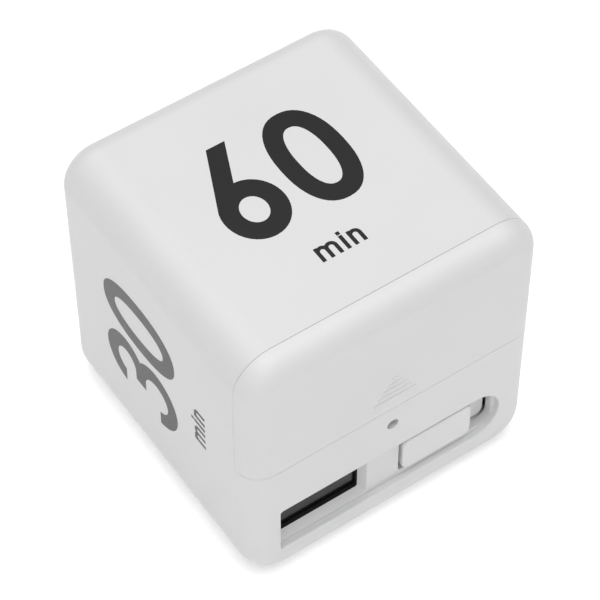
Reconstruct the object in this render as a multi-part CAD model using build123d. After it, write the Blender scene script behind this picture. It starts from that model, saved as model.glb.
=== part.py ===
from build123d import *
import math
import os

# A cube kitchen timer that counts down the number on the face that is turned up.
# Lengths are millimetres and +Z is up.  The display looks toward -Y.
# Every piece is drawn about the middle of the cube, and write() lifts it, so that the
# timer stands on its base with the origin under its middle.

# Moulding
JOIN = 0.2              # how far a feature is sunk into the wall that carries it
PAST = 1.0              # how far a cutter runs past the face that it cuts

# Case
CUBE = 63.5
WALL = 2.2
SIDE_RADIUS = 7.8       # the four long edges, which run from front to back
FRONT_RADIUS = 5.0
REAR_RADIUS = 4.5
HALF = CUBE / 2
INSIDE = HALF - WALL
FRONT = -HALF
FRONT_INSIDE = -INSIDE

# Seam round the battery door
SEAM = 0.06
SEAM_SOFTENING = 0.08
DOOR_SEAM_Y = FRONT + FRONT_RADIUS
DOOR_SEAM_Z = 1.45

# Rear cover, a panel let into the rear face on a ledge
COVER_OPENING = 26.9    # half its width
COVER_GAP = 0.1
COVER_LEDGE = 0.8
COVER_STEP = 1.1        # thickness of the panel in front of the ledge
COVER_CORNER = 3.0

# Channel across the front, which holds the display window and the slide switch
CHANNEL_DEPTH = 1.28
CHANNEL_LEFT = -25.36
CHANNEL_RIGHT = 24.45
CHANNEL_TOP = -11.74
CHANNEL_BOTTOM = -24.0
CHANNEL_CORNER = 0.6
CHANNEL_LIP = 0.3
PAD_DEPTH = 2.86        # the wall is thicker behind the channel, to this depth
PAD_MARGIN = 1.6

# Display window, seen at the channel floor and, after its bevel, at the back of the pad
WINDOW_LEFT = -24.9
WINDOW_RIGHT = -5.36
WINDOW_TOP = -12.1
WINDOW_BOTTOM = -23.4
WINDOW_BEVEL = 1.03
WINDOW_CORNER = 0.5
GASKET_THICKNESS = 0.8
LENS_THICKNESS = 1.2
LENS_OVERLAP = 1.4      # how far the lens and its gasket reach behind the pad
LENS_CORNER = 0.8
LENS_FRONT = FRONT + PAD_DEPTH + GASKET_THICKNESS
LENS_BACK = LENS_FRONT + LENS_THICKNESS

# Display glass in its frame
GLASS_LEFT = -25.3
GLASS_RIGHT = -4.7
GLASS_BOTTOM = -24.1
GLASS_TOP = -11.4
GLASS_SHEET = 0.9
GLASS_LEDGE = 1.6       # how much shorter the front sheet is
GLASS_FRONT = LENS_BACK + 0.7
GLASS_BACK = GLASS_FRONT + 2 * GLASS_SHEET
FRAME_GAP = 0.1
FRAME_WALL = 0.7
FRAME_LIP = 1.4
STRIP_HEIGHT = 2.0

# Slide switch
SLOT_LEFT = 1.9
SLOT_RIGHT = 23.4
SLOT_TOP = -12.8
SLOT_BOTTOM = -22.6
SLOT_RIGHT_CORNER = 2.2
SLOT_LEFT_CORNER = 1.0
KNOB_LEFT = 2.45
KNOB_RIGHT = 18.26
KNOB_TOP = -12.95
KNOB_BOTTOM = -22.0
KNOB_DEPTH = 0.5
KNOB_CORNER = 1.6
KNOB_EDGE = 0.45
SLIDE_PLATE_LEFT = -3.2
SLIDE_PLATE_RIGHT = 22.8
SLIDE_PLATE_TOP = -13.1
SLIDE_PLATE_BOTTOM = -21.84
SLIDE_PLATE_CORNER = 1.7
SLIDE_PLATE_DEPTH = PAD_DEPTH + 0.15
SLIDE_PLATE_THICKNESS = 1.2
RAIL_GAP = 0.1          # from the slot to each rail
RAIL_THICKNESS = 1.0
RAIL_HEIGHT = 1.6
SWITCH_TRAVEL = 4.4
SWITCH_Z = (KNOB_TOP + KNOB_BOTTOM) / 2
LEVER_X = 10.2
LEVER_HALF = 0.8
LEVER_REACH = 1.8       # how far the lever stands out of its case
PRONG_X = 1.45          # from the middle of the lever to the middle of each prong
PRONG_HALF = 0.5
PRONG_HEIGHT = 1.9
SWITCH_X = LEVER_X + SWITCH_TRAVEL / 2
SWITCH_HALF_X = 6.2
SWITCH_HALF_Z = 3.2
SWITCH_SHEET = 0.3
CARRIAGE_HALF_X = 3.0
CARRIAGE_HALF_Z = 2.6
CARRIAGE_FRONT = 0.4    # behind the front of the switch's case
CARRIAGE_BACK = 1.3
WIPER_HALF_X = 2.6
WIPER_HALF_Z = 1.2
WIPER_THICKNESS = 0.2
WIPER_FOOT_X = 1.7
WIPER_FOOT_RADIUS = 0.7

# Sounder
SOUND_HOLE_X = -0.7
SOUND_HOLE_Z = -3.6
SOUND_HOLE_RADIUS = 1.25
SOUNDER_RADIUS = 4.8
SOUNDER_HEIGHT = 5.0
SOUNDER_FRONT = FRONT_INSIDE + 0.2
SOUNDER_BACK = SOUNDER_FRONT + SOUNDER_HEIGHT
SOUNDER_DISC_RADIUS = 4.15
SOUNDER_DISC_DEPTH = 1.8
SOUNDER_SHOULDER = 3.6  # radius of the space in front of the disc
SOUNDER_FACE = 0.7
SOUNDER_CAP = 0.9
SOUNDER_MOUTH = 1.1
DISC_THICKNESS = 0.2
PIN_RADIUS = 0.3
PIN_PLACE = 1.9         # from the middle of the sounder to each pin
PIN_LENGTH = 0.8        # behind the board
COLLAR_WALL = 0.8
COLLAR_HEIGHT = 2.0
COLLAR_TOP = -0.4

# Thumb ridges on the battery door, a triangle that points the way the door opens
RIDGE_COUNT = 5
RIDGE_FIRST_Z = 4.9
RIDGE_PITCH = 1.43
RIDGE_X = -0.5
RIDGE_LONGEST = 9.3
RIDGE_STEP = 1.95
RIDGE_WIDTH = 0.62
RIDGE_HEIGHT = 0.12

# Two AAA cells, which lie across the timer behind the door
CELL_RADIUS = 5.25
CELL_LENGTH = 44.5
CELL_EDGE = 0.5
CELL_NUB_RADIUS = 1.9
CELL_NUB_LENGTH = 1.0
CELL_Y = -21.0
LOWER_CELL_Z = 9.4
UPPER_CELL_Z = 21.4
MIDDLE_Z = (LOWER_CELL_Z + UPPER_CELL_Z) / 2
TRAY_INSIDE_X = 24.2
TRAY_WALL = 1.2
TRAY_FRONT = -27.0
TRAY_BACK = -14.4
TRAY_FLOOR = TRAY_BACK - TRAY_WALL
TRAY_BOTTOM = 2.2
TRAY_TOP = 28.6
DIVIDER_HALF_LENGTH = 20.0
DIVIDER_HALF_WIDTH = 0.4
DIVIDER_HEIGHT = 4.0
EAR_OUTER = 29.0
EAR_HALF_HEIGHT = 4.4
EAR_THICKNESS = 1.4
CONTACT_THICKNESS = 0.3
CONTACT_HALF_HEIGHT = 4.6
CONTACT_TAIL_HALF = 1.5
BRIDGE_HALF_HEIGHT = 10.0
SPRING_WIRE = 0.5
SPRING_RADIUS = 3.0
SPRING_TURNS = 3
SPRING_SLACK = 0.1

# Guides that hold the battery door, and the hooks that run behind their flanges
GUIDE_INNER = 25.9
GUIDE_STEM = 1.0
GUIDE_BACK = -22.0
GUIDE_BOTTOM = 3.6
GUIDE_TOP = 24.8
FLANGE_OUTER = 28.1
FLANGE_FRONT = -28.9
FLANGE_BACK = -28.1
HOOK_INNER = 27.1
HOOK_FRONT = -27.9
HOOK_BACK = -27.1

# Tongues behind the door's lower edge
LEDGE_INNER = 8.0
LEDGE_OUTER = 24.0
LEDGE_BACK = -28.2
LEDGE_BOTTOM = -1.0
LEDGE_TOP = 3.2
LEDGE_GAP = 0.25

# Circuit board, upright behind the front panel
BOARD_FRONT = -21.55
BOARD_THICKNESS = 1.2
BOARD_BACK = BOARD_FRONT + BOARD_THICKNESS
BOARD_HALF_WIDTH = 25.8
BOARD_TOP = 1.0
BOARD_BOTTOM = -29.0
BOARD_CORNER = 1.5
BOARD_POSTS = [(-23.9, -4.5), (23.9, -4.5), (-23.9, -27.2), (23.9, -27.2)]
POST_RADIUS = 1.7
SWITCH_TOP_Y = BOARD_FRONT - 3.5
SWITCH_BASE_Y = BOARD_FRONT - 1.0

# Pieces soldered on the board
BLOB_RADIUS = 4.6
BLOB_HEIGHT = 1.5
BLOB_PLACE = (-12.0, -21.6)
CRYSTAL_X = 7.0
CRYSTAL_Z = -21.0
CRYSTAL_RADIUS = 1.2
CRYSTAL_LENGTH = 6.0
CRYSTAL_STAND = 1.3
CRYSTAL_WIRE = 0.2
CAPACITOR_PLACE = (20.0, -19.0)
CAPACITOR_RADIUS = 2.5
CAPACITOR_HEIGHT = 6.0
CHIP_COLUMNS = (-3.0, 0.2, 3.4)
CHIP_ROWS = (-15.8, -18.4)
CHIP_HALF_LENGTH = 0.8
CHIP_HALF_WIDTH = 0.4
CHIP_HEIGHT = 0.5

# Small self-tapping screws for the board and the tray
SCREW_RADIUS = 1.0
SCREW_LENGTH = 5.2
SCREW_HEAD_RADIUS = 1.75
SCREW_HEAD_HEIGHT = 1.3
SCREW_FIT = 0.03
SCREW_CLEARANCE = 0.15
SCREW_HOLE_DEPTH = 4.4
CROSS_WIDTH = 0.45
TRAY_SCREW_X = 27.3
TRAY_SCREW_Z = 15.4

# Longer screws for the rear cover, each in a well over a post
COVER_SCREW_PLACE = 22.5
COVER_SCREW_RADIUS = 1.2
COVER_SCREW_LENGTH = 12.0
COVER_SCREW_HEAD_RADIUS = 2.0
COVER_SCREW_HEAD_HEIGHT = 1.5
COVER_SCREW_SEAT_Y = 28.0
COVER_WELL_RADIUS = 2.3
COVER_BOSS_RADIUS = 3.2
COVER_POST_RADIUS = 3.0
COVER_POST_FRONT = 8.0
COVER_POST_BACK = 25.8
COVER_HOLE_FRONT = 13.0
COVER_WEB = 2.0
CORNERS = [(side * COVER_SCREW_PLACE, level * COVER_SCREW_PLACE) for side in (-1, 1) for level in (-1, 1)]

# Tilt sensors: a ball runs in a tube that leans 45 degrees to one side
TILT_PLACES = {"left": (-10.5, -8.2), "right": (9.5, -8.2)}
TILT_LEAN = {"left": -45.0, "right": 45.0}
TILT_Y = -17.2
TILT_RADIUS = 2.6
TILT_WALL = 0.5
TILT_LENGTH = 9.6
TILT_LEG = 0.6
TILT_LEG_PLACE = 3.4
TILT_BALL_RADIUS = 1.75
TILT_BALL_GAP = 0.15

# Battery leads
LEAD_RADIUS = 0.6
LEAD_BEND = 0.45        # a bend's tangent, as a share of the shorter run beside it
RED_LEAD_ROUTE = [
    (24.05, -12.6, 9.4), (24.05, -7.4, 9.4), (24.4, -5.6, 2.4),
    (23.6, -11.0, -3.4), (22.8, -15.2, -7.0), (22.8, -20.35, -7.0),
]
BLACK_LEAD_ROUTE = [
    (24.05, -12.6, 21.4), (24.05, -6.6, 21.4), (21.6, -3.4, 13.6), (19.0, -5.2, 4.4),
    (18.4, -10.2, -3.0), (18.6, -15.0, -7.2), (18.6, -20.35, -7.2),
]


def block(x0, x1, y0, y1, z0, z1):
    """A box between two corners."""
    return Pos((x0 + x1) / 2, (y0 + y1) / 2, (z0 + z1) / 2) * Box(x1 - x0, y1 - y0, z1 - z0)


def rod(radius, x, z, y0, y1):
    """A round bar that runs from front to back."""
    return Pos(x, (y0 + y1) / 2, z) * Rot(90, 0, 0) * Cylinder(radius, y1 - y0)


def bar(radius, x0, x1, y, z):
    """A round bar that runs from left to right."""
    return Pos((x0 + x1) / 2, y, z) * Rot(0, 90, 0) * Cylinder(radius, x1 - x0)


def upright(sketch, y0, y1):
    """A sketch drawn as seen from the front, made solid between two depths."""
    return extrude(Plane.XZ.offset(-y1) * sketch, y1 - y0)


def rounded(left, right, bottom, top, radius):
    """A rectangle with four equal round corners."""
    return Pos((left + right) / 2, (bottom + top) / 2) * RectangleRounded(right - left, top - bottom, radius)


def mirrored(shape):
    """A shape and its twin on the other side of the timer."""
    return [shape, mirror(shape, Plane.YZ)]


def fuse(shapes):
    """One solid from pieces that touch."""
    first, *others = shapes
    return first.fuse(*others).clean() if others else first


def rounded_cube(half, side, front, rear):
    """The timer's cube, with its own radius on the sides, the front and the rear."""
    body = Box(2 * half, 2 * half, 2 * half)
    body = fillet(body.edges().filter_by(Axis.Y), side)
    body = fillet(body.faces().sort_by(Axis.Y)[0].edges(), front)
    return fillet(body.faces().sort_by(Axis.Y)[-1].edges(), rear)


def case_shell():
    """The wall of the whole cube."""
    outside = rounded_cube(HALF, SIDE_RADIUS, FRONT_RADIUS, REAR_RADIUS)
    inside = rounded_cube(INSIDE, SIDE_RADIUS - WALL, FRONT_RADIUS - WALL, REAR_RADIUS - WALL)
    return outside - inside


def door_side(gap):
    """The space in front of the door's seam and above its lower edge."""
    return block(-CUBE, CUBE, -CUBE, DOOR_SEAM_Y - gap, DOOR_SEAM_Z + gap, CUBE)


def seam_behind_door(shape, y):
    """Outer edges of the shape along the upright seam behind the door."""
    found = ShapeList()
    for edge in shape.edges():
        box = edge.bounding_box()
        flat = abs(box.min.Y - y) < 0.01 and abs(box.max.Y - y) < 0.01
        reach = max(abs(box.min.X), abs(box.max.X), box.max.Z)
        if flat and reach > HALF - 0.01 and box.max.Z > DOOR_SEAM_Z + PAST:
            found.append(edge)
    return found


def seam_below_door(shape, z):
    """Outer edges of the shape along the level seam under the door."""
    found = ShapeList()
    for edge in shape.edges():
        box = edge.bounding_box()
        flat = abs(box.min.Z - z) < 0.01 and abs(box.max.Z - z) < 0.01
        outside = box.min.Y < FRONT + 0.01
        if flat and outside and box.size.Y < FRONT_RADIUS + 0.01:
            found.append(edge)
    return found


def soften_seam(shape, gap):
    """Round the outer edges of the seam, on the housing's side or the door's."""
    shape = fillet(seam_behind_door(shape, DOOR_SEAM_Y + gap), SEAM_SOFTENING)
    return fillet(seam_below_door(shape, DOOR_SEAM_Z - gap), SEAM_SOFTENING)


# ---------------------------------------------------------------- case


def channel_outline():
    """The channel: square at its left end, a half round at its right end."""
    height = CHANNEL_TOP - CHANNEL_BOTTOM
    middle = (CHANNEL_TOP + CHANNEL_BOTTOM) / 2
    round_x = CHANNEL_RIGHT - height / 2
    straight = rounded(CHANNEL_LEFT, round_x, CHANNEL_BOTTOM, CHANNEL_TOP, CHANNEL_CORNER)
    end = Pos(round_x, middle) * Circle(height / 2)
    corner = Pos(round_x - 2, middle) * Rectangle(4, height)
    return straight + corner + end


def window_opening():
    """The display window, bevelled from the channel floor to the back of the pad."""
    floor_y = FRONT + CHANNEL_DEPTH
    back_y = FRONT + PAD_DEPTH
    bevel = WINDOW_BEVEL
    wide = rounded(WINDOW_LEFT, WINDOW_RIGHT, WINDOW_BOTTOM, WINDOW_TOP, WINDOW_CORNER)
    narrow = rounded(
        WINDOW_LEFT + bevel, WINDOW_RIGHT - bevel, WINDOW_BOTTOM + bevel, WINDOW_TOP - bevel, WINDOW_CORNER
    )
    return loft([Plane.XZ.offset(-floor_y) * wide, Plane.XZ.offset(-back_y) * narrow], ruled=True)


def slot_outline():
    """The slot that the switch knob moves in."""
    middle = (SLOT_LEFT + SLOT_RIGHT) / 2
    right = rounded(SLOT_LEFT, SLOT_RIGHT, SLOT_BOTTOM, SLOT_TOP, SLOT_RIGHT_CORNER)
    left = rounded(SLOT_LEFT, middle, SLOT_BOTTOM, SLOT_TOP, SLOT_LEFT_CORNER)
    return left + right


def door_guides():
    """A rail at each side of the battery opening, with a flange that the door hooks behind."""
    base_front = DOOR_SEAM_Y + JOIN
    base = block(GUIDE_INNER, INSIDE + JOIN, base_front, GUIDE_BACK, GUIDE_BOTTOM, GUIDE_TOP)
    stem = block(GUIDE_INNER, GUIDE_INNER + GUIDE_STEM, FLANGE_FRONT, base_front, GUIDE_BOTTOM, GUIDE_TOP)
    flange = block(GUIDE_INNER, FLANGE_OUTER, FLANGE_FRONT, FLANGE_BACK, GUIDE_BOTTOM, GUIDE_TOP)
    hole_front = GUIDE_BACK - SCREW_HOLE_DEPTH
    hole = rod(SCREW_RADIUS + SCREW_FIT, TRAY_SCREW_X, TRAY_SCREW_Z, hole_front, GUIDE_BACK)
    return mirrored(fuse([base, stem, flange]) - hole)


def door_ledges():
    """Two tongues behind the door's lower edge, which keep it flush with the front panel."""
    seam = DOOR_SEAM_Z - SEAM
    root = block(LEDGE_INNER, LEDGE_OUTER, FRONT_INSIDE - JOIN, LEDGE_BACK, LEDGE_BOTTOM, seam)
    tongue = block(LEDGE_INNER, LEDGE_OUTER, FRONT_INSIDE + LEDGE_GAP, LEDGE_BACK, seam, LEDGE_TOP)
    return mirrored(fuse([root, tongue]))


def board_posts():
    """Four posts on the front wall, which the circuit board screws to."""
    posts = []
    for x, z in BOARD_POSTS:
        post = rod(POST_RADIUS, x, z, FRONT_INSIDE - JOIN, BOARD_FRONT)
        hole = rod(SCREW_RADIUS + SCREW_FIT, x, z, BOARD_FRONT - SCREW_HOLE_DEPTH, BOARD_FRONT)
        posts.append(post - hole)
    return posts


def cover_posts():
    """Four posts near the rear corners, each with a web to the side wall."""
    posts = []
    for x, z in CORNERS:
        side = math.copysign(1, x)
        post = rod(COVER_POST_RADIUS, x, z, COVER_POST_FRONT, COVER_POST_BACK)
        inner, outer = sorted((x, side * (INSIDE + JOIN)))
        web_low, web_high = z - COVER_WEB / 2, z + COVER_WEB / 2
        web = block(inner, outer, COVER_POST_FRONT, COVER_POST_BACK - PAST, web_low, web_high)
        hole = rod(COVER_SCREW_RADIUS + SCREW_FIT, x, z, COVER_HOLE_FRONT, COVER_POST_BACK)
        posts.append(fuse([post, web]) - hole)
    return posts


def switch_rails():
    """Two ribs behind the pad, which the slide plate runs between."""
    right = CHANNEL_RIGHT + PAD_MARGIN
    front, back = FRONT + PAD_DEPTH - JOIN, FRONT + PAD_DEPTH + RAIL_HEIGHT
    lower = SLOT_BOTTOM - RAIL_GAP
    upper = SLOT_TOP + RAIL_GAP
    return [
        block(SLIDE_PLATE_LEFT, right, front, back, lower - RAIL_THICKNESS, lower),
        block(SLIDE_PLATE_LEFT, right, front, back, upper, upper + RAIL_THICKNESS),
    ]


def sounder_collar():
    """A short ring on the front wall round the sounder, open at its top."""
    inner = SOUNDER_RADIUS + SCREW_CLEARANCE
    back = FRONT_INSIDE + COLLAR_HEIGHT
    ring = at_sounder(inner + COLLAR_WALL, FRONT_INSIDE - JOIN, back)
    ring -= at_sounder(inner, FRONT_INSIDE - PAST, back)
    return ring - block(-HALF, HALF, FRONT_INSIDE - PAST, back, COLLAR_TOP, HALF)


def rear_opening():
    """The opening for the rear cover, narrower in front of its ledge."""
    wide, narrow = COVER_OPENING, COVER_OPENING - COVER_LEDGE
    step_y = HALF - WALL + COVER_STEP
    mouth = upright(rounded(-wide, wide, -wide, wide, COVER_CORNER), step_y, HALF + PAST)
    throat = rounded(-narrow, narrow, -narrow, narrow, COVER_CORNER - COVER_LEDGE)
    return fuse([mouth, upright(throat, INSIDE - PAST, step_y)])


def housing():
    """Four sides, the lower front panel and the rear edge, with everything moulded on them."""
    body = case_shell() - door_side(-SEAM / 2)
    body = soften_seam(body, SEAM / 2)
    body -= rear_opening()
    pad = block(
        CHANNEL_LEFT - PAD_MARGIN, CHANNEL_RIGHT + PAD_MARGIN,
        FRONT_INSIDE - JOIN, FRONT + PAD_DEPTH,
        CHANNEL_BOTTOM - PAD_MARGIN, CHANNEL_TOP + PAD_MARGIN,
    )
    additions = [pad, *door_guides(), *door_ledges(), *board_posts(), *cover_posts(), *switch_rails()]
    body = fuse([body, *additions, sounder_collar()])
    body -= upright(channel_outline(), FRONT - PAST, FRONT + CHANNEL_DEPTH)
    rim = body.edges().filter_by_position(Axis.Y, FRONT - 0.01, FRONT + 0.01)
    body = fillet(rim.filter_by(inside_channel_rim), CHANNEL_LIP)
    body -= window_opening()
    body -= upright(slot_outline(), FRONT, FRONT + PAD_DEPTH + JOIN / 2)
    return body - rod(SOUND_HOLE_RADIUS, SOUND_HOLE_X, SOUND_HOLE_Z, FRONT - PAST, FRONT_INSIDE + PAST)


def inside_channel_rim(edge):
    """True for the edges where the channel meets the flat front."""
    box = edge.bounding_box()
    across = box.min.X > CHANNEL_LEFT - 0.1 and box.max.X < CHANNEL_RIGHT + 0.1
    return across and box.min.Z > CHANNEL_BOTTOM - 0.1 and box.max.Z < CHANNEL_TOP + 0.1


def thumb_ridges():
    """Short raised bars, each narrower than the one below it."""
    ridges = []
    for row in range(RIDGE_COUNT):
        half = (RIDGE_LONGEST - row * RIDGE_STEP) / 2
        z = RIDGE_FIRST_Z + row * RIDGE_PITCH
        ridge = block(
            RIDGE_X - half, RIDGE_X + half, FRONT - RIDGE_HEIGHT, FRONT + JOIN,
            z - RIDGE_WIDTH / 2, z + RIDGE_WIDTH / 2,
        )
        front_edges = ridge.faces().sort_by(Axis.Y)[0].edges()
        ridges.append(fillet(front_edges, RIDGE_HEIGHT * 0.8))
    return ridges


def battery_door():
    """The upper front, which wraps round three edges and slides up on two hooks."""
    door = soften_seam(case_shell() & door_side(SEAM / 2), -SEAM / 2)
    hook = block(HOOK_INNER, INSIDE + JOIN, HOOK_FRONT, HOOK_BACK, GUIDE_BOTTOM, GUIDE_TOP)
    return fuse([door, *mirrored(hook), *thumb_ridges()])


def rear_cover():
    """A stepped panel with a screw well near each corner."""
    wide = COVER_OPENING - COVER_GAP
    narrow = wide - COVER_LEDGE
    step_y = INSIDE + COVER_STEP + COVER_GAP
    plate = upright(rounded(-wide, wide, -wide, wide, COVER_CORNER - COVER_GAP), step_y, HALF)
    plate = fillet(plate.faces().sort_by(Axis.Y)[-1].edges(), SEAM_SOFTENING)
    inner = rounded(-narrow, narrow, -narrow, narrow, COVER_CORNER - COVER_LEDGE - COVER_GAP)
    pieces = [plate, upright(inner, INSIDE, step_y + JOIN)]
    pieces += [rod(COVER_BOSS_RADIUS, x, z, COVER_POST_BACK + COVER_GAP, INSIDE + JOIN) for x, z in CORNERS]
    cover = fuse(pieces)
    for x, z in CORNERS:
        cover -= rod(COVER_WELL_RADIUS, x, z, COVER_SCREW_SEAT_Y, HALF + PAST)
        cover -= rod(COVER_SCREW_RADIUS + SCREW_CLEARANCE, x, z, COVER_POST_BACK, HALF)
    return cover


# ---------------------------------------------------------------- display


def window_ring(margin, radius):
    """The window's outline at the back of the pad, grown by a margin."""
    grow = margin - WINDOW_BEVEL
    return rounded(WINDOW_LEFT - grow, WINDOW_RIGHT + grow, WINDOW_BOTTOM - grow, WINDOW_TOP + grow, radius)


def display_gasket():
    """A black foam ring between the pad and the lens."""
    ring = window_ring(LENS_OVERLAP, LENS_CORNER) - window_ring(0, WINDOW_CORNER)
    return upright(ring, FRONT + PAD_DEPTH, LENS_FRONT)


def display_lens():
    """The clear window in front of the display."""
    return upright(window_ring(LENS_OVERLAP, LENS_CORNER), LENS_FRONT, LENS_BACK)


def glass_block(grow, y0, y1):
    """A box with the outline of the display glass, grown by a margin."""
    return block(GLASS_LEFT - grow, GLASS_RIGHT + grow, y0, y1, GLASS_BOTTOM - grow, GLASS_TOP + grow)


def display_frame():
    """The frame that presses the display glass and its rubber strips on the board."""
    frame = glass_block(FRAME_GAP + FRAME_WALL, LENS_BACK + FRAME_GAP, BOARD_FRONT)
    frame -= glass_block(-FRAME_LIP, LENS_BACK, BOARD_FRONT)
    return frame - glass_block(FRAME_GAP, GLASS_FRONT - FRAME_GAP, BOARD_FRONT)


def display_glass():
    """Two sheets of glass with the liquid crystal between them; the front sheet is shorter."""
    middle = GLASS_FRONT + GLASS_SHEET
    rear = glass_block(0, middle, GLASS_BACK)
    front = block(GLASS_LEFT, GLASS_RIGHT, GLASS_FRONT, middle, GLASS_BOTTOM, GLASS_TOP - GLASS_LEDGE)
    return fuse([rear, front])


def display_strips():
    """Two rubber strips that carry the signals from the board to the glass."""
    left, right = GLASS_LEFT + FRAME_WALL, GLASS_RIGHT - FRAME_WALL
    return [
        block(left, right, GLASS_BACK, BOARD_FRONT, GLASS_BOTTOM, GLASS_BOTTOM + STRIP_HEIGHT),
        block(left, right, GLASS_BACK, BOARD_FRONT, GLASS_TOP - STRIP_HEIGHT, GLASS_TOP),
    ]


# ---------------------------------------------------------------- slide switch


def switch_knob():
    """The knob, the plate that it stands on, and the fork that drives the lever."""
    plate_front = FRONT + SLIDE_PLATE_DEPTH
    plate_back = plate_front + SLIDE_PLATE_THICKNESS
    cap = rounded(KNOB_LEFT, KNOB_RIGHT, KNOB_BOTTOM, KNOB_TOP, KNOB_CORNER)
    cap = upright(cap, FRONT + KNOB_DEPTH, plate_front + JOIN)
    cap = fillet(cap.faces().sort_by(Axis.Y)[0].edges(), KNOB_EDGE)
    plate = rounded(
        SLIDE_PLATE_LEFT, SLIDE_PLATE_RIGHT, SLIDE_PLATE_BOTTOM, SLIDE_PLATE_TOP, SLIDE_PLATE_CORNER
    )
    pieces = [upright(plate, plate_front, plate_back), cap]
    for side in (-1, 1):
        x = LEVER_X + side * PRONG_X
        pieces.append(block(
            x - PRONG_HALF, x + PRONG_HALF, plate_back - JOIN, plate_back + PRONG_HEIGHT,
            SWITCH_Z - 2 * LEVER_HALF, SWITCH_Z + 2 * LEVER_HALF,
        ))
    return fuse(pieces)


def switch_block(half_x, half_z, y0, y1):
    """A box in line with the slide switch on the board."""
    return block(SWITCH_X - half_x, SWITCH_X + half_x, y0, y1, SWITCH_Z - half_z, SWITCH_Z + half_z)


def switch_base():
    """The insulating base of the slide switch, flat on the board."""
    return switch_block(SWITCH_HALF_X, SWITCH_HALF_Z, SWITCH_BASE_Y, BOARD_FRONT)


def switch_case():
    """The sheet metal cover of the slide switch, with a slot for its lever."""
    sheet = SWITCH_SHEET
    slot_half = SWITCH_TRAVEL / 2 + LEVER_HALF + JOIN
    case = switch_block(SWITCH_HALF_X, SWITCH_HALF_Z, SWITCH_TOP_Y, SWITCH_BASE_Y)
    case -= switch_block(SWITCH_HALF_X - sheet, SWITCH_HALF_Z - sheet, SWITCH_TOP_Y + sheet, SWITCH_BASE_Y)
    return case - switch_block(slot_half, LEVER_HALF + JOIN, SWITCH_TOP_Y - PAST, SWITCH_TOP_Y + sheet)


def at_lever(half_x, half_z, y0, y1):
    """A box in line with the lever."""
    return block(LEVER_X - half_x, LEVER_X + half_x, y0, y1, SWITCH_Z - half_z, SWITCH_Z + half_z)


def switch_lever():
    """The lever of the slide switch, which the knob's fork pushes."""
    top = SWITCH_TOP_Y
    front, back = top + CARRIAGE_FRONT, top + CARRIAGE_BACK
    carriage = at_lever(CARRIAGE_HALF_X, CARRIAGE_HALF_Z, front, back)
    stem = at_lever(LEVER_HALF, LEVER_HALF, top - LEVER_REACH, (front + back) / 2)
    return fuse([carriage, stem])


def switch_wiper():
    """The sprung contact under the lever, with two round feet."""
    strip_front = SWITCH_TOP_Y + CARRIAGE_BACK
    strip_back = strip_front + WIPER_THICKNESS
    wiper = [at_lever(WIPER_HALF_X, WIPER_HALF_Z, strip_front, strip_back)]
    for side in (-1, 1):
        foot_x = LEVER_X + side * WIPER_FOOT_X
        foot = Pos(foot_x, strip_back, SWITCH_Z) * Cylinder(WIPER_FOOT_RADIUS, 2 * (WIPER_HALF_Z - JOIN))
        wiper.append(foot & block(-HALF, HALF, strip_back - WIPER_THICKNESS / 2, 0, -HALF, 0))
    return fuse(wiper)


# ---------------------------------------------------------------- sounder


def at_sounder(radius, y0, y1, shift=0.0):
    """A round bar in line with the sounder, or beside its middle."""
    return rod(radius, SOUND_HOLE_X + shift, SOUND_HOLE_Z, y0, y1)


def sounder_case():
    """A plastic can with a sound hole in front and a shoulder that holds the disc."""
    can = at_sounder(SOUNDER_RADIUS, SOUNDER_FRONT, SOUNDER_BACK)
    can -= at_sounder(SOUNDER_SHOULDER, SOUNDER_FRONT + SOUNDER_FACE, SOUNDER_BACK)
    can -= at_sounder(SOUNDER_DISC_RADIUS + 0.05, SOUNDER_FRONT + SOUNDER_DISC_DEPTH, SOUNDER_BACK)
    return can - at_sounder(SOUNDER_MOUTH, SOUNDER_FRONT - PAST, SOUNDER_FRONT + PAST)


def sounder_disc():
    """The brass disc that vibrates."""
    front = SOUNDER_FRONT + SOUNDER_DISC_DEPTH
    return at_sounder(SOUNDER_DISC_RADIUS, front, front + DISC_THICKNESS)


def sounder_base():
    """The rear cap of the sounder with its two pins."""
    pieces = [at_sounder(SOUNDER_DISC_RADIUS, SOUNDER_BACK - SOUNDER_CAP, SOUNDER_BACK)]
    for side in (-1, 1):
        pieces.append(at_sounder(PIN_RADIUS, SOUNDER_BACK - JOIN, BOARD_BACK + PIN_LENGTH, side * PIN_PLACE))
    return fuse(pieces)


# ---------------------------------------------------------------- circuit board


def main_board():
    """The circuit board, with holes for its screws and the sounder's pins."""
    outline = rounded(-BOARD_HALF_WIDTH, BOARD_HALF_WIDTH, BOARD_BOTTOM, BOARD_TOP, BOARD_CORNER)
    board = upright(outline, BOARD_FRONT, BOARD_BACK)
    for x, z in BOARD_POSTS:
        board -= rod(SCREW_RADIUS + SCREW_CLEARANCE, x, z, BOARD_FRONT - PAST, BOARD_BACK + PAST)
    for side in (-1, 1):
        board -= at_sounder(PIN_RADIUS + 0.1, BOARD_FRONT - PAST, BOARD_BACK + PAST, side * PIN_PLACE)
    return board


def controller_blob():
    """The dab of black resin over the bare chip."""
    ball_radius = (BLOB_RADIUS ** 2 + BLOB_HEIGHT ** 2) / (2 * BLOB_HEIGHT)
    x, z = BLOB_PLACE
    ball = Pos(x, BOARD_BACK + BLOB_HEIGHT - ball_radius, z) * Sphere(ball_radius)
    return ball & block(-HALF, HALF, BOARD_BACK, 0, -HALF, 0)


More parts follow.
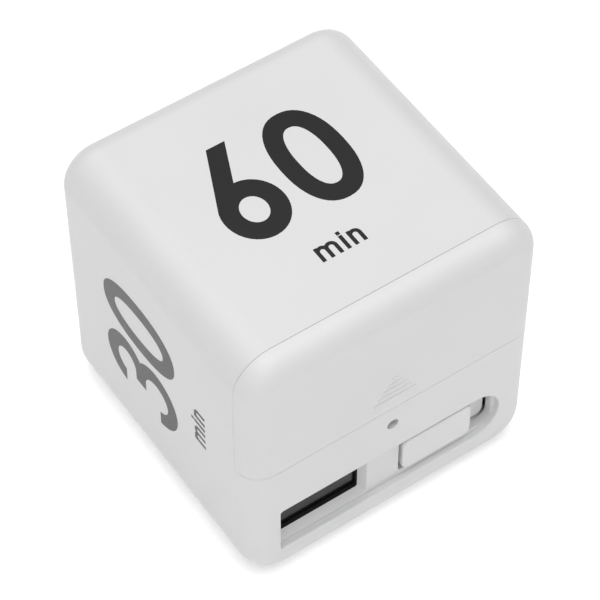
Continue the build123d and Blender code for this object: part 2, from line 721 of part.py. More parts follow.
def timing_crystal():
    """A small metal can on two wires, which keeps the time."""
    y = BOARD_BACK + CRYSTAL_STAND
    can = Pos(CRYSTAL_X, y, CRYSTAL_Z) * Cylinder(CRYSTAL_RADIUS, CRYSTAL_LENGTH)
    pieces = [fillet(can.edges().sort_by(Axis.Z)[-1], 0.4)]
    foot_z = CRYSTAL_Z - CRYSTAL_LENGTH / 2 - 2.0
    for side in (-1, 1):
        x = CRYSTAL_X + side * CRYSTAL_RADIUS / 2
        pieces.append(Pos(x, y, foot_z + PAST) * Cylinder(CRYSTAL_WIRE, 2.4))
        pieces.append(block(x - 0.35, x + 0.35, BOARD_BACK, y + CRYSTAL_WIRE, foot_z - 0.6, foot_z))
    return fuse(pieces)


def supply_capacitor():
    """The round capacitor that steadies the battery supply."""
    can = rod(CAPACITOR_RADIUS, *CAPACITOR_PLACE, BOARD_BACK, BOARD_BACK + CAPACITOR_HEIGHT)
    return fillet(can.edges().sort_by(Axis.Y)[-1], 0.5)


def chip_components():
    """Six flat resistors and capacitors soldered on the board."""
    parts = []
    for x in CHIP_COLUMNS:
        for z in CHIP_ROWS:
            parts.append(block(
                x - CHIP_HALF_LENGTH, x + CHIP_HALF_LENGTH, BOARD_BACK, BOARD_BACK + CHIP_HEIGHT,
                z - CHIP_HALF_WIDTH, z + CHIP_HALF_WIDTH,
            ))
    return parts


def tilt_frame(side):
    """The place and lean of one tilt sensor."""
    x, z = TILT_PLACES[side]
    return Pos(x, TILT_Y, z) * Rot(0, TILT_LEAN[side], 0)


def tilt_sensor(side):
    """A closed tube that stands off the board on two legs."""
    can = Cylinder(TILT_RADIUS, TILT_LENGTH)
    can = fillet(can.edges().filter_by(GeomType.CIRCLE), 0.3)
    can -= Cylinder(TILT_RADIUS - TILT_WALL, TILT_LENGTH - 2 * TILT_WALL)
    start, end = BOARD_BACK - TILT_Y, JOIN - TILT_RADIUS
    pieces = [can]
    for place in (-TILT_LEG_PLACE, TILT_LEG_PLACE):
        pieces.append(Pos(0, (start + end) / 2, place) * Box(TILT_LEG, end - start, TILT_LEG))
    return tilt_frame(side) * fuse(pieces)


def tilt_ball(side):
    """The ball, at rest at the lower end of its tube."""
    low = -TILT_LENGTH / 2 + TILT_WALL + TILT_BALL_GAP + TILT_BALL_RADIUS
    return tilt_frame(side) * Pos(0, 0, low) * Sphere(TILT_BALL_RADIUS)


# ---------------------------------------------------------------- batteries


def battery_tray():
    """The open box that holds two cells, with an ear at each end."""
    reach = TRAY_INSIDE_X + TRAY_WALL
    inside = TRAY_INSIDE_X
    tray = block(-reach, reach, TRAY_FRONT, TRAY_BACK, TRAY_BOTTOM, TRAY_TOP)
    tray -= block(
        -inside, inside, TRAY_FRONT - PAST, TRAY_FLOOR, TRAY_BOTTOM + TRAY_WALL, TRAY_TOP - TRAY_WALL
    )
    divider = block(
        -DIVIDER_HALF_LENGTH, DIVIDER_HALF_LENGTH, TRAY_FLOOR - DIVIDER_HEIGHT, TRAY_FLOOR + JOIN,
        MIDDLE_Z - DIVIDER_HALF_WIDTH, MIDDLE_Z + DIVIDER_HALF_WIDTH,
    )
    ear_back = GUIDE_BACK + EAR_THICKNESS
    ear_low, ear_high = TRAY_SCREW_Z - EAR_HALF_HEIGHT, TRAY_SCREW_Z + EAR_HALF_HEIGHT
    ear = block(reach - JOIN, EAR_OUTER, GUIDE_BACK, ear_back, ear_low, ear_high)
    hole_radius = SCREW_RADIUS + SCREW_CLEARANCE
    ear -= rod(hole_radius, TRAY_SCREW_X, TRAY_SCREW_Z, GUIDE_BACK - PAST, ear_back + PAST)
    tray = fuse([tray, divider, *mirrored(ear)])
    slot_half = CONTACT_TAIL_HALF + 2 * CONTACT_THICKNESS
    for z in (LOWER_CELL_Z, UPPER_CELL_Z):
        slot_left = inside - 2 * CONTACT_THICKNESS
        tray -= block(slot_left, inside, TRAY_FLOOR - JOIN, TRAY_BACK + JOIN, z - slot_half, z + slot_half)
    return tray


def battery_cell(z, nub_side):
    """One AAA cell, with its nub toward one side of the timer."""
    wall = TRAY_INSIDE_X - CONTACT_THICKNESS
    body_length = CELL_LENGTH - CELL_NUB_LENGTH
    nub_start = wall - CELL_NUB_LENGTH
    can = bar(CELL_RADIUS, nub_start - body_length, nub_start, CELL_Y, z)
    can = fillet(can.edges().filter_by(GeomType.CIRCLE), CELL_EDGE)
    nub = bar(CELL_NUB_RADIUS, nub_start - JOIN, wall, CELL_Y, z)
    cell = fuse([can, nub])
    return cell if nub_side > 0 else mirror(cell, Plane.YZ)


def contact_plate(z, half_height):
    """A sprung metal plate at the right end of the tray."""
    outer = TRAY_INSIDE_X
    inner = outer - CONTACT_THICKNESS
    return block(inner, outer, TRAY_FRONT + PAST, TRAY_FLOOR - JOIN, z - half_height, z + half_height)


def terminal_plate(z):
    """A contact plate whose tail passes through the tray to a battery lead."""
    outer = TRAY_INSIDE_X
    inner = outer - CONTACT_THICKNESS
    tail_end = RED_LEAD_ROUTE[0][1]
    tail = block(inner, outer, TRAY_FLOOR - 2 * JOIN, tail_end, z - CONTACT_TAIL_HALF, z + CONTACT_TAIL_HALF)
    return fuse([contact_plate(z, CONTACT_HALF_HEIGHT), tail])


def bridge_plate():
    """The plate at the left end, which joins the two cells."""
    return mirror(contact_plate(MIDDLE_Z, BRIDGE_HALF_HEIGHT), Plane.YZ)


def cell_spring(z, side):
    """A coil spring that presses on the flat end of a cell."""
    wall = TRAY_INSIDE_X - CONTACT_THICKNESS
    space = 2 * wall - CELL_LENGTH
    height = space - SPRING_WIRE - SPRING_SLACK
    path = Helix(height / SPRING_TURNS, height, SPRING_RADIUS)
    profile = Plane(origin=path @ 0, z_dir=path % 0) * Circle(SPRING_WIRE / 2)
    coil = sweep(profile, path, is_frenet=True)
    start = wall - SPRING_WIRE / 2 - SPRING_SLACK / 2
    coil = Pos(start, CELL_Y, z) * Rot(0, -90, 0) * coil
    return coil if side > 0 else mirror(coil, Plane.YZ)


def battery_lead(route, label):
    """An insulated wire along straight runs joined by the largest arcs that they allow."""
    points = [Vector(*point) for point in route]
    runs = [b - a for a, b in zip(points, points[1:])]
    radii = []
    for before, after in zip(runs, runs[1:]):
        half_turn = math.radians(before.get_angle(after)) / 2
        radii.append(LEAD_BEND * min(before.length, after.length) / math.tan(half_turn))
    path = FilletPolyline(*points, radius=radii)
    profile = Plane(origin=path @ 0, z_dir=path % 0) * Circle(LEAD_RADIUS)
    lead = sweep(profile, path)
    expected = math.pi * LEAD_RADIUS ** 2 * path.length
    print(label, "arc radii", [round(radius, 1) for radius in radii])
    print(label, "volume over section times length", round(lead.volume / expected, 4))
    return lead


# ---------------------------------------------------------------- screws


def screw(radius, length, head_radius, head_height):
    """A pan head screw that points toward -Y, with its head seated at y = 0."""
    head = rod(head_radius, 0, 0, 0, head_height)
    head = fillet(head.edges().sort_by(Axis.Y)[-1], head_height * 0.4)
    shank = rod(radius, 0, 0, -length, 0)
    shank = chamfer(shank.edges().sort_by(Axis.Y)[0], radius * 0.5)
    arm = head_radius * 1.1
    cross = Box(arm, head_height, CROSS_WIDTH) + Box(CROSS_WIDTH, head_height, arm)
    return fuse([head, shank]) - Pos(0, head_height, 0) * cross


def small_screw():
    """The screw that holds the board and the tray."""
    return screw(SCREW_RADIUS, SCREW_LENGTH, SCREW_HEAD_RADIUS, SCREW_HEAD_HEIGHT)


def board_screws():
    """Four screws that hold the board."""
    one = small_screw()
    return [Pos(x, BOARD_BACK, z) * one for x, z in BOARD_POSTS]


def tray_screws():
    """Two screws that hold the battery tray."""
    one = small_screw()
    seat = GUIDE_BACK + EAR_THICKNESS
    return [Pos(side * TRAY_SCREW_X, seat, TRAY_SCREW_Z) * one for side in (-1, 1)]


def cover_screws():
    """Four longer screws that hold the rear cover."""
    one = screw(COVER_SCREW_RADIUS, COVER_SCREW_LENGTH, COVER_SCREW_HEAD_RADIUS, COVER_SCREW_HEAD_HEIGHT)
    return [Pos(x, COVER_SCREW_SEAT_Y, z) * one for x, z in CORNERS]


# ---------------------------------------------------------------- output


def write(name, shape):
    """Set one piece at its height over the base and save it."""
    solids = shape if isinstance(shape, list) else [shape]
    loose = [solid for item in solids for solid in item.solids()]
    piece = Compound(children=loose) if len(loose) > 1 else loose[0]
    export_step(Pos(0, 0, HALF) * piece, os.path.join("parts", name + ".step"))


def main():
    os.makedirs("parts", exist_ok=True)
    write("housing", housing())
    write("battery_door", battery_door())
    write("rear_cover", rear_cover())
    write("display_gasket", display_gasket())
    write("display_lens", display_lens())
    write("display_frame", display_frame())
    write("display_glass", display_glass())
    write("display_strips", display_strips())
    write("switch_knob", switch_knob())
    write("switch_base", switch_base())
    write("switch_case", switch_case())
    write("switch_lever", switch_lever())
    write("switch_wiper", switch_wiper())
    write("sounder_case", sounder_case())
    write("sounder_disc", sounder_disc())
    write("sounder_base", sounder_base())
    write("main_board", main_board())
    write("controller_blob", controller_blob())
    write("timing_crystal", timing_crystal())
    write("supply_capacitor", supply_capacitor())
    write("chip_components", chip_components())
    for side in TILT_PLACES:
        write("tilt_sensor_" + side, tilt_sensor(side))
        write("tilt_ball_" + side, tilt_ball(side))
    write("battery_tray", battery_tray())
    write("lower_cell", battery_cell(LOWER_CELL_Z, 1))
    write("upper_cell", battery_cell(UPPER_CELL_Z, -1))
    write("positive_plate", terminal_plate(LOWER_CELL_Z))
    write("negative_plate", terminal_plate(UPPER_CELL_Z))
    write("bridge_plate", bridge_plate())
    write("upper_spring", cell_spring(UPPER_CELL_Z, 1))
    write("lower_spring", cell_spring(LOWER_CELL_Z, -1))
    write("red_lead", battery_lead(RED_LEAD_ROUTE, "red lead"))
    write("black_lead", battery_lead(BLACK_LEAD_ROUTE, "black lead"))
    write("board_screws", board_screws())
    write("tray_screws", tray_screws())
    write("cover_screws", cover_screws())


main()
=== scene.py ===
import math

import bpy
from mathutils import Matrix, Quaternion, Vector


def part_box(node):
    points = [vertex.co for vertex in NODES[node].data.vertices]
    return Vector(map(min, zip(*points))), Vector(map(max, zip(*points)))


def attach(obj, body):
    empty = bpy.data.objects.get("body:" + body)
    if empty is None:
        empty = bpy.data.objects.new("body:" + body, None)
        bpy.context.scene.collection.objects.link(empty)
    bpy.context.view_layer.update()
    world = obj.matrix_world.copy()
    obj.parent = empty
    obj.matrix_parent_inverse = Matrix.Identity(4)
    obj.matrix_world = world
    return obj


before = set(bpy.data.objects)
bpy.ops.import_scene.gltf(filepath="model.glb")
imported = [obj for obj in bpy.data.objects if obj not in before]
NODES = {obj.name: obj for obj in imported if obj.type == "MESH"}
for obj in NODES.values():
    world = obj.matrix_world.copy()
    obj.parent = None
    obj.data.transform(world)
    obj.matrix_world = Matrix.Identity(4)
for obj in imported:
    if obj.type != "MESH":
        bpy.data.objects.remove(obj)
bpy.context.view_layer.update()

# A cube kitchen timer. Everything is in metres, in the row frame: the timer stands on z = 0,
# its display looks toward -Y, and the face with the number 60 is on top.

MM = 0.001
CASE_LOW, CASE_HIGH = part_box("housing")
HALF = (CASE_HIGH.x - CASE_LOW.x) / 2
CENTRE = Vector((0, 0, HALF))


# ---------------------------------------------------------------- camera, floor and light

CAMERA_AZIMUTH = -34.27
CAMERA_ELEVATION = 52.46
CAMERA_ROLL = -0.176
CAMERA_DISTANCE = 503.6 * MM
CAMERA_LENS = 161.55
AIM_RIGHT = 0.4525 * MM
AIM_DOWN = 0.6425 * MM


def back_from(azimuth, elevation):
    """The direction from the timer toward a viewer."""
    a, e = math.radians(azimuth), math.radians(elevation)
    return Vector((math.sin(a) * math.cos(e), -math.cos(a) * math.cos(e), math.sin(e)))


def make_camera():
    """The camera, at the timer's front left and above it."""
    back = back_from(CAMERA_AZIMUTH, CAMERA_ELEVATION)
    turn = (-back).to_track_quat("-Z", "Y") @ Quaternion((0, 0, 1), math.radians(CAMERA_ROLL))
    right, up = turn @ Vector((1, 0, 0)), turn @ Vector((0, 1, 0))
    aim = CENTRE + right * AIM_RIGHT - up * AIM_DOWN
    data = bpy.data.cameras.new("camera")
    data.lens = CAMERA_LENS
    data.sensor_width = 36.0
    data.clip_start, data.clip_end = 0.01, 20.0
    camera = bpy.data.objects.new("camera", data)
    bpy.context.scene.collection.objects.link(camera)
    camera.rotation_mode = "QUATERNION"
    camera.location = aim + back * CAMERA_DISTANCE
    camera.rotation_quaternion = turn
    bpy.context.scene.camera = camera


FLOOR_REACH = 3.0
FLOOR_COLOUR = (0.9, 0.9, 0.9, 1)
FLOOR_GLOW = 0.23
PALE = (1.0, 1.0, 1.0, 1)

SKY_LEVEL = 0.03
# Each broad lamp in the sky: the way toward it, its strength, and how tightly it is gathered
SKY_LAMPS = {
    "overhead": ((0.0, 0.0, 1.0), 3.506, 5.0),
    "front": ((0.0, -0.71, 0.71), 0.229, 4.0),
    "corner": ((-0.65, -0.65, 0.4), 0.6, 6.0),
}


def make_floor():
    """A plain white floor."""
    mesh = bpy.data.meshes.new("floor")
    reach = FLOOR_REACH
    corners = [(-reach, -reach, 0), (reach, -reach, 0), (reach, reach, 0), (-reach, reach, 0)]
    mesh.from_pydata(corners, [], [(0, 1, 2, 3)])
    floor = bpy.data.objects.new("floor", mesh)
    bpy.context.scene.collection.objects.link(floor)
    material = bpy.data.materials.new("floor")
    material.use_nodes = True
    shader = material.node_tree.nodes["Principled BSDF"]
    shader.inputs["Base Color"].default_value = FLOOR_COLOUR
    shader.inputs["Roughness"].default_value = 0.9
    shader.inputs["Specular IOR Level"].default_value = 0.0
    shader.inputs["Emission Color"].default_value = PALE
    shader.inputs["Emission Strength"].default_value = FLOOR_GLOW
    mesh.materials.append(material)


def make_light():
    """A soft white studio: an even sky that is brighter above, in front and at the near left corner."""
    world = bpy.data.worlds.new("studio")
    world.use_nodes = True
    tree = world.node_tree

    def node(kind, **values):
        made = tree.nodes.new(kind)
        for key, value in values.items():
            setattr(made, key, value)
        return made

    direction = node("ShaderNodeTexCoord").outputs["Generated"]
    level = node("ShaderNodeValue")
    level.outputs["Value"].default_value = SKY_LEVEL
    total = level.outputs["Value"]
    for toward, amount, tightness in SKY_LAMPS.values():
        along = node("ShaderNodeVectorMath", operation="DOT_PRODUCT")
        tree.links.new(direction, along.inputs[0])
        along.inputs[1].default_value = toward
        lobe = node("ShaderNodeMapRange")
        tree.links.new(along.outputs["Value"], lobe.inputs["Value"])
        gather = node("ShaderNodeMath", operation="POWER")
        tree.links.new(lobe.outputs["Result"], gather.inputs[0])
        gather.inputs[1].default_value = tightness
        add = node("ShaderNodeMath", operation="MULTIPLY_ADD")
        tree.links.new(gather.outputs["Value"], add.inputs[0])
        add.inputs[1].default_value = amount
        tree.links.new(total, add.inputs[2])
        total = add.outputs["Value"]
    background = tree.nodes["Background"]
    background.inputs["Color"].default_value = PALE
    tree.links.new(total, background.inputs["Strength"])
    bpy.context.scene.world = world


# ---------------------------------------------------------------- materials


class Shader:
    """A small helper that builds one procedural material."""

    def __init__(self, name):
        self.material = bpy.data.materials.new(name)
        self.material.use_nodes = True
        self.tree = self.material.node_tree
        self.main = self.tree.nodes["Principled BSDF"]
        self.colour = self.main.inputs["Base Color"]
        self.roughness = self.main.inputs["Roughness"]
        self.place = self.node("ShaderNodeTexCoord").outputs["Object"]

    def node(self, kind, **values):
        made = self.tree.nodes.new(kind)
        for key, value in values.items():
            setattr(made, key, value)
        return made

    def link(self, source, target):
        self.tree.links.new(source, target)

    def noise(self, per_mm, detail=3.0, rough=0.5, stretch=(1, 1, 1)):
        """Noise with that many cells in a millimetre, stretched along an axis."""
        mapping = self.node("ShaderNodeMapping")
        mapping.inputs["Scale"].default_value = stretch
        self.link(self.place, mapping.inputs["Vector"])
        noise = self.node("ShaderNodeTexNoise")
        noise.inputs["Scale"].default_value = per_mm / MM
        noise.inputs["Detail"].default_value = detail
        noise.inputs["Roughness"].default_value = rough
        self.link(mapping.outputs["Vector"], noise.inputs["Vector"])
        return noise.outputs["Fac"]

    def spread(self, value, low, high, start=0.3, end=0.7):
        """A number that runs from low to high as the value runs from start to end."""
        remap = self.node("ShaderNodeMapRange")
        remap.inputs["From Min"].default_value = start
        remap.inputs["From Max"].default_value = end
        remap.inputs["To Min"].default_value = low
        remap.inputs["To Max"].default_value = high
        self.link(value, remap.inputs["Value"])
        return remap.outputs["Result"]

    def between(self, value, first, second, start=0.3, end=0.7):
        """A colour that runs from first to second as the value runs from start to end."""
        ramp = self.node("ShaderNodeValToRGB")
        ramp.color_ramp.elements[0].position = start
        ramp.color_ramp.elements[0].color = (*first, 1)
        ramp.color_ramp.elements[1].position = end
        ramp.color_ramp.elements[1].color = (*second, 1)
        self.link(value, ramp.inputs["Fac"])
        return ramp.outputs["Color"]

    def bump(self, value, depth_mm):
        """Raise the surface by a value, up to a depth in millimetres."""
        bump = self.node("ShaderNodeBump")
        bump.inputs["Strength"].default_value = 1.0
        bump.inputs["Distance"].default_value = depth_mm * MM
        self.link(value, bump.inputs["Height"])
        self.link(bump.outputs["Normal"], self.main.inputs["Normal"])

    def set(self, **values):
        """Set sockets of the main shader; an underscore in a name stands for a space."""
        for key, value in values.items():
            self.main.inputs[key.replace("_", " ")].default_value = value


def shade(colour, factor):
    """A lighter or darker tone of a colour."""
    return tuple(min(1.0, c * factor) for c in colour)


def moulded_plastic(name, colour, roughness, grain_mm=0.004, ior_level=0.5):
    """Moulded plastic with a fine spark-eroded grain and a faint, broad change of tone."""
    shader = Shader(name)
    broad = shader.noise(0.03, detail=2.0)
    shader.link(shader.between(broad, shade(colour, 0.985), shade(colour, 1.015)), shader.colour)
    fine = shader.noise(4.0, detail=2.0)
    shader.link(shader.spread(fine, roughness - 0.04, roughness + 0.04), shader.roughness)
    shader.bump(fine, grain_mm)
    shader.set(Specular_IOR_Level=ior_level)
    return shader.material


def gloss_ink(name, colour, roughness, ior_level=0.5):
    """Dark, slightly glossy ink or lacquer with a faint orange-peel surface."""
    shader = Shader(name)
    broad = shader.noise(0.2)
    shader.link(shader.between(broad, shade(colour, 0.9), shade(colour, 1.1)), shader.colour)
    fine = shader.noise(3.0, detail=1.0)
    shader.link(shader.spread(fine, roughness - 0.03, roughness + 0.03), shader.roughness)
    shader.bump(fine, 0.001)
    shader.set(Specular_IOR_Level=ior_level)
    return shader.material


def rubber(name, colour, roughness=0.8):
    """Foam, rubber or cable insulation with an uneven surface."""
    shader = Shader(name)
    cells = shader.noise(3.0, detail=4.0, rough=0.7)
    shader.link(shader.between(cells, shade(colour, 0.7), shade(colour, 1.4)), shader.colour)
    shader.link(shader.spread(cells, roughness - 0.1, roughness + 0.1), shader.roughness)
    shader.bump(cells, 0.03)
    shader.set(Specular_IOR_Level=0.3)
    return shader.material


def metal(name, colour, roughness, stretch=(1, 1, 1)):
    """Plated or rolled metal with fine lines along the stretched axis."""
    shader = Shader(name)
    lines = shader.noise(2.0, detail=4.0, stretch=stretch)
    stain = shader.noise(0.15)
    shader.link(shader.between(stain, shade(colour, 0.88), shade(colour, 1.05)), shader.colour)
    shader.link(shader.spread(lines, roughness - 0.06, roughness + 0.08), shader.roughness)
    shader.bump(lines, 0.002)
    shader.set(Metallic=1.0)
    return shader.material


def smoked_window(name):
    """The polished window over the display."""
    shader = Shader(name)
    haze = shader.noise(0.1)
    shader.link(shader.between(haze, (0.004, 0.004, 0.0045), (0.007, 0.007, 0.0075)), shader.colour)
    shader.link(shader.spread(haze, 0.16, 0.2), shader.roughness)
    shader.set(Specular_IOR_Level=0.62)
    return shader.material


def circuit_board(name):
    """Green lacquer over copper tracks that run up, down and across."""
    shader = Shader(name)
    tracks = shader.node("ShaderNodeTexBrick")
    tracks.inputs["Scale"].default_value = 1 / MM
    tracks.inputs["Mortar Size"].default_value = 0.18
    tracks.inputs["Brick Width"].default_value = 6.0
    tracks.inputs["Row Height"].default_value = 1.3
    tracks.inputs["Color1"].default_value = (0.012, 0.13, 0.05, 1)
    tracks.inputs["Color2"].default_value = (0.012, 0.11, 0.045, 1)
    tracks.inputs["Mortar"].default_value = (0.03, 0.25, 0.09, 1)
    turned = shader.node("ShaderNodeMapping")
    turned.inputs["Rotation"].default_value = (math.radians(90), 0, 0)
    shader.link(shader.place, turned.inputs["Vector"])
    shader.link(turned.outputs["Vector"], tracks.inputs["Vector"])
    shader.link(tracks.outputs["Color"], shader.colour)
    shader.link(shader.spread(shader.noise(1.0), 0.25, 0.4), shader.roughness)
    shader.bump(tracks.outputs["Fac"], 0.03)
    return shader.material


def cell_wrap(name, tip_side):
    """A battery's printed sleeve: dark green with a copper-coloured band at the nub end."""
    shader = Shader(name)
    axis = shader.node("ShaderNodeSeparateXYZ")
    shader.link(shader.place, axis.inputs["Vector"])
    band_start = 13.0 * MM * tip_side
    band = shader.node("ShaderNodeMath", operation="GREATER_THAN" if tip_side > 0 else "LESS_THAN")
    shader.link(axis.outputs["X"], band.inputs[0])
    band.inputs[1].default_value = band_start
    green, copper = (0.015, 0.06, 0.035), (0.55, 0.27, 0.12)
    shader.link(shader.between(band.outputs["Value"], green, copper, 0.49, 0.51), shader.colour)
    lines = shader.noise(1.0, stretch=(0.05, 1, 1))
    shader.link(shader.spread(lines, 0.22, 0.34), shader.roughness)
    shader.bump(lines, 0.004)
    shader.set(Metallic=0.7)
    return shader.material


def make_materials():
    """One material for each group of nodes that share a finish."""
    white = moulded_plastic("white_shell", (0.665, 0.665, 0.667), 0.42)
    inner = moulded_plastic("tray_plastic", (0.66, 0.66, 0.655), 0.5)
    knob = moulded_plastic("knob_plastic", (0.67, 0.67, 0.672), 0.38, grain_mm=0.002)
    black = moulded_plastic("black_plastic", (0.015, 0.015, 0.016), 0.45)
    steel = metal("spring_steel", (0.62, 0.61, 0.58), 0.25, (1, 0.1, 1))
    screw = metal("screw_steel", (0.5, 0.5, 0.51), 0.32)
    sensor = metal("sensor_metal", (0.66, 0.64, 0.6), 0.28, (1, 1, 0.1))
    return {
        "housing": white, "battery_door": white, "rear_cover": white,
        "switch_knob": knob, "battery_tray": inner,
        "display_frame": moulded_plastic("frame_plastic", (0.6, 0.6, 0.58), 0.5),
        "display_gasket": rubber("black_foam", (0.012, 0.012, 0.012), 0.85),
        "display_lens": smoked_window("window_clear"),
        "display_glass": gloss_ink("display_glass", (0.012, 0.013, 0.012), 0.12),
        "display_strips": rubber("strip_rubber", (0.3, 0.16, 0.18)),
        "switch_base": moulded_plastic("switch_base", (0.16, 0.07, 0.03), 0.6),
        "switch_case": metal("switch_metal", (0.58, 0.57, 0.53), 0.3, (0.1, 1, 1)),
        "switch_lever": black, "sounder_case": black, "sounder_base": black,
        "switch_wiper": metal("contact_copper", (0.72, 0.42, 0.24), 0.25),
        "sounder_disc": metal("disc_brass", (0.72, 0.52, 0.22), 0.3),
        "main_board": circuit_board("board_green"),
        "controller_blob": gloss_ink("black_resin", (0.012, 0.012, 0.012), 0.18),
        "timing_crystal": metal("crystal_metal", (0.62, 0.62, 0.64), 0.22, (1, 1, 0.1)),
        "supply_capacitor": moulded_plastic("capacitor_sleeve", (0.012, 0.02, 0.07), 0.35),
        "chip_components": moulded_plastic("chip_ceramic", (0.22, 0.15, 0.09), 0.6),
        "tilt_sensor_left": sensor, "tilt_sensor_right": sensor,
        "tilt_ball_left": screw, "tilt_ball_right": screw,
        "lower_cell": cell_wrap("cell_wrap_right", 1), "upper_cell": cell_wrap("cell_wrap_left", -1),
        "positive_plate": steel, "negative_plate": steel, "bridge_plate": steel,
        "upper_spring": steel, "lower_spring": steel,
        "red_lead": rubber("red_insulation", (0.42, 0.02, 0.015), 0.45),
        "black_lead": rubber("black_insulation", (0.012, 0.012, 0.012), 0.45),
        "board_screws": screw, "tray_screws": screw, "cover_screws": screw,
    }


def paint_nodes():
    """Give each CAD node its finish."""
    materials = make_materials()
    for name, node in NODES.items():
        node.data.materials.clear()
        node.data.materials.append(materials[name])


# ---------------------------------------------------------------- printed numbers

INK_THICKNESS = 0.02
ARC_STEPS = 48

# The small word, in millimetres
WORD_STROKE = 0.78
M_WIDTH = 4.45
N_WIDTH = 2.6
LETTER_SPACE = 0.85
DOT_LIFT = 0.2
SHOULDER_START = 115.0   # degrees round the first shoulder, where it leaves the stem


def ellipse(cx, cy, rx, ry, start=0.0, end=360.0, power=2.0, steps=ARC_STEPS):
    """Points along a stretch of an ellipse, or of a squarer curve when power is above 2."""
    points = []
    closed = abs(end - start) >= 360
    for i in range(steps + (0 if closed else 1)):
        a = math.radians(start + (end - start) * i / steps)
        c, s = math.cos(a), math.sin(a)
        x = math.copysign(abs(c) ** (2 / power), c)
        y = math.copysign(abs(s) ** (2 / power), s)
        points.append((cx + rx * x, cy + ry * y))
    return points


def digit_six():
    """A straight stem that meets a round bowl."""
    stem_top = [(-4.65, 16.45), (-8.65, 16.45)]
    bowl = ellipse(-8.97, 0.15, 6.38, 7.1, 158, 448)
    counter = ellipse(-9.0, 0.12, 2.63, 3.13)
    return [stem_top + bowl, counter]


def digit_zero(cx, cy, rx, ry, side, end):
    """A tall zero, whose stroke is side wide at its sides and end wide at its top and bottom."""
    outer = ellipse(cx, cy, rx, ry, power=2.3)
    inner = ellipse(cx, cy, rx - side, ry - end, power=2.3)
    return [outer, inner]


def digit_three():
    """Two bowls that meet in a short bar."""
    upper_out = ellipse(-6.83, 10.07, 6.68, 6.63, 176, -50)
    lower_out = ellipse(-6.87, -0.25, 7.02, 7.15, 47, -172)
    lower_in = ellipse(-6.9, -0.3, 3.5, 3.8, -165, 90)
    upper_in = ellipse(-6.83, 9.93, 3.18, 3.08, -90, 170)
    bar = [(-9.1, 3.5), (-9.1, 6.85)]
    return [upper_out + lower_out + lower_in + bar + upper_in]


def digit_one():
    """A stem with a short flag."""
    stem_left, stem_right = -7.9, -4.0
    flag = [(-7.3, 16.5), (-13.0, 13.2), (-13.0, 9.4), (stem_left, 12.2)]
    return [[(stem_left, -7.2), (stem_right, -7.2), (stem_right, 16.5), *flag]]


def digit_five(cx):
    """A flat top, a short stem and an open bowl."""
    outer = ellipse(cx, 0.35, 6.9, 7.65, 110, -165)
    inner = ellipse(cx, 0.35, 3.2, 4.1, -158, 128)
    flat_top = [(cx - 5.5, 16.5), (cx + 5.6, 16.5), (cx + 5.6, 12.9), (cx - 2.3, 12.9)]
    return [outer + inner + [(cx - 6.2, 3.0), *flat_top]]


def flat_outline(name, outlines):
    """A thin sheet of ink bounded by outlines in millimetres, the first of each pair the outer one."""
    data = bpy.data.curves.new(name, "CURVE")
    data.dimensions = "2D"
    data.fill_mode = "BOTH"
    data.extrude = INK_THICKNESS / 2
    for outline in outlines:
        spline = data.splines.new("POLY")
        spline.points.add(len(outline) - 1)
        for point, (x, y) in zip(spline.points, outline):
            point.co = (x, y, 0, 1)
        spline.use_cyclic_u = True
    return bpy.data.objects.new(name, data)


def arched_letter(left, width, low, top, arches):
    """An n, or an m with two arches: a stem, then round shoulders that end in legs."""
    pitch = (width - WORD_STROKE) / arches
    half = (pitch + WORD_STROKE) / 2
    shoulder = top - half
    valley = math.degrees(math.acos(pitch / 2 / half))
    outer = [(left, low), (left, top), (left + WORD_STROKE, top)]
    inner = [(left + WORD_STROKE, low)]
    for index in range(arches):
        middle = left + half + index * pitch
        start = 180 - valley if index else SHOULDER_START
        end = valley if index < arches - 1 else 0
        leg = [(middle + half, low), (middle + half - WORD_STROKE, low)]
        gap = ellipse(middle, shoulder, half - WORD_STROKE, half - WORD_STROKE, 0, 180)
        outer += ellipse(middle, shoulder, half, half, start, end)
        inner = leg + gap + inner
    return [outer + inner]


def stroke_bar(left, low, top):
    """A plain upright stroke of the small word."""
    right = left + WORD_STROKE
    return [[(left, low), (right, low), (right, top), (left, top)]]


def small_word(left, low, x_height):
    """The word min, which starts at left and stands on low: an m, an i with its dot, and an n."""
    top = low + x_height
    i_left = left + M_WIDTH + LETTER_SPACE
    n_left = i_left + WORD_STROKE + LETTER_SPACE
    dot_low = top + DOT_LIFT
    return [
        arched_letter(left, M_WIDTH, low, top, 2),
        stroke_bar(i_left, low, top),
        stroke_bar(i_left, dot_low, dot_low + WORD_STROKE),
        arched_letter(n_left, N_WIDTH, low, top, 1),
    ]


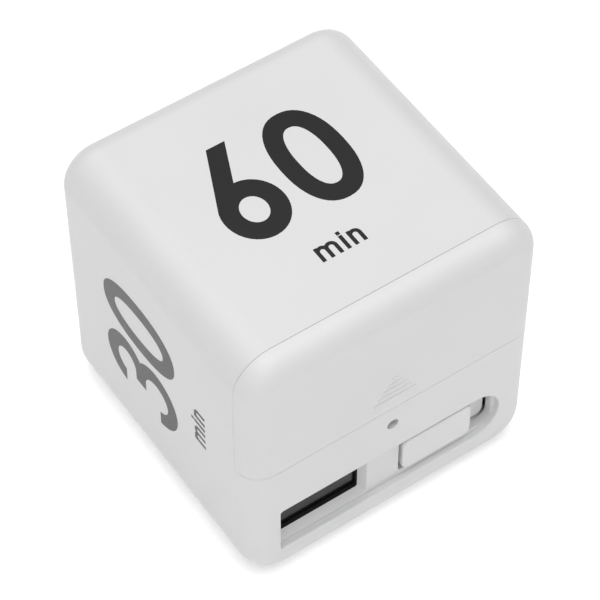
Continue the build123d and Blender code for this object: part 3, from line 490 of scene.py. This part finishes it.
def as_mesh(obj, name):
    """The object's final shape as a mesh of its own, in millimetres."""
    bpy.context.view_layer.update()
    shown = obj.evaluated_get(bpy.context.evaluated_depsgraph_get())
    mesh = bpy.data.meshes.new_from_object(shown)
    mesh.transform(obj.matrix_world)
    bpy.data.objects.remove(obj)
    made = bpy.data.objects.new(name, mesh)
    bpy.context.scene.collection.objects.link(made)
    return made


def lay_print(obj, origin, across, up, ink):
    """Put a print on a face: across and up are the directions that the lettering reads in."""
    normal = across.cross(up)
    lift = INK_THICKNESS * MM / 2
    for vertex in obj.data.vertices:
        x, y, z = vertex.co
        vertex.co = origin + (across * x + up * y) * MM + normal * (z * MM + lift)
    obj.data.materials.clear()
    obj.data.materials.append(ink)
    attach(obj, "case")


def print_face(name, digits, word, origin, across, up, ink):
    """One face's number and the word under it."""
    pieces = [(f"{name}_digit_{index + 1}", outlines) for index, outlines in enumerate(digits)]
    pieces += [(f"{name}_min_{index + 1}", outlines) for index, outlines in enumerate(small_word(*word))]
    for piece_name, outlines in pieces:
        curve = flat_outline("draft", outlines)
        bpy.context.scene.collection.objects.link(curve)
        lay_print(as_mesh(curve, piece_name), origin, across, up, ink)


def print_faces():
    """The numbers of the four faces that the timer can be turned to."""
    ink = gloss_ink("face_ink", (0.007, 0.007, 0.0075), 0.3, ior_level=0.32)
    x, y, z = Vector((1, 0, 0)), Vector((0, 1, 0)), Vector((0, 0, 1))
    top = CENTRE + z * HALF
    left, right, base = CENTRE - x * HALF, CENTRE + x * HALF, CENTRE - z * HALF
    top_zero = digit_zero(6.63, 4.75, 6.88, 11.7, 3.7, 3.95)
    side_zero = digit_zero(8.83, 4.63, 6.93, 11.93, 3.6, 3.8)
    word = (-5.8, -16.65, 3.4)
    print_face("sixty", [digit_six(), top_zero], word, top, x, y, ink)
    print_face("thirty", [digit_three(), side_zero], (-4.0, -17.0, 3.5), left, z, y, ink)
    print_face("fifteen", [digit_one(), digit_five(6.6)], word, right, -z, y, ink)
    print_face("five", [digit_five(0.0)], word, base, -x, y, ink)


# ---------------------------------------------------------------- everything


make_camera()
make_floor()
make_light()
paint_nodes()
print_faces()
bpy.context.scene.view_settings.view_transform = "Standard"
